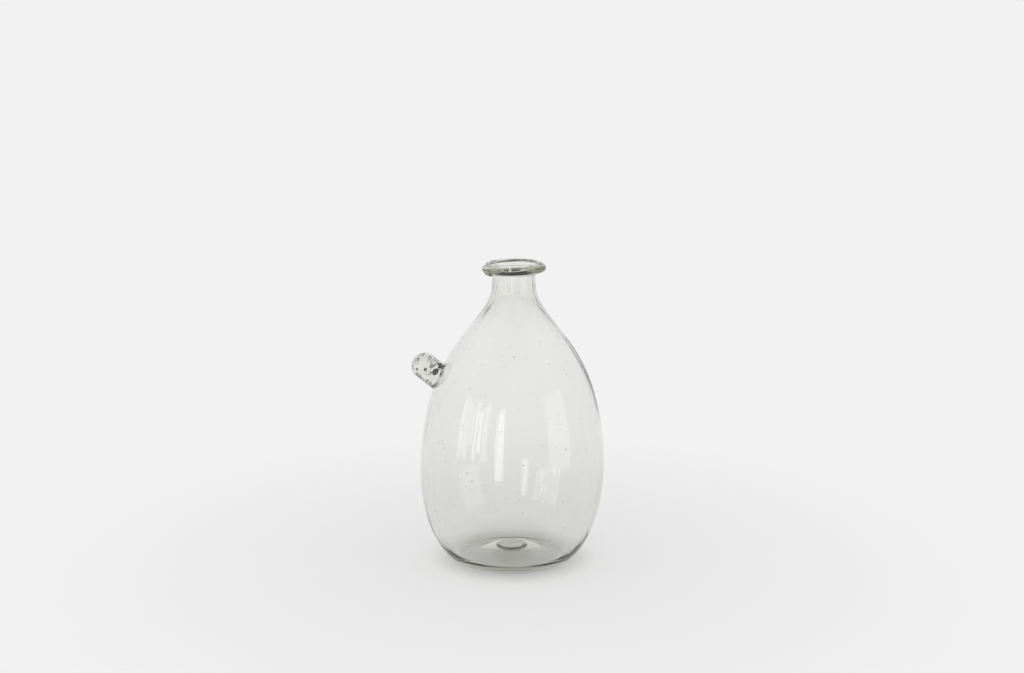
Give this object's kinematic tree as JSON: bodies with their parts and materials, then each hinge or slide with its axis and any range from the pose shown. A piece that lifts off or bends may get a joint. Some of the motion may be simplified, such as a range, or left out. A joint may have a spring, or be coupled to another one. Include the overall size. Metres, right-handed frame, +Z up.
{
  "type": "glass wasp trap",
  "caption": "Mouth-blown clear glass wasp trap bottle with a wound ring under its open mouth, a dimpled knob on its shoulder and a pushed-up base.",
  "frame": {"origin": "middle of the ring that the bottle stands on, on the table plane", "axes": "+Z up along the bottle's axis through its mouth; -X out through the shoulder knob"},
  "size_m": [0.1399, 0.134, 0.22],
  "materials": {
    "blown_glass": "clear with a faint grey-green tint, fire-polished, with seed bubbles",
    "trail_glass": "clear with a faint grey-green tint, fire-polished",
    "knob_glass": "clear, pressed all over with shallow dimples",
    "pontil_glass": "grey-green, broken edge"
  },
  "bodies": {
    "root": {"bottle": "blown_glass", "lip_ring": "trail_glass", "shoulder_knob": "knob_glass", "pontil_mark": "pontil_glass"}
  },
  "joints": []
}
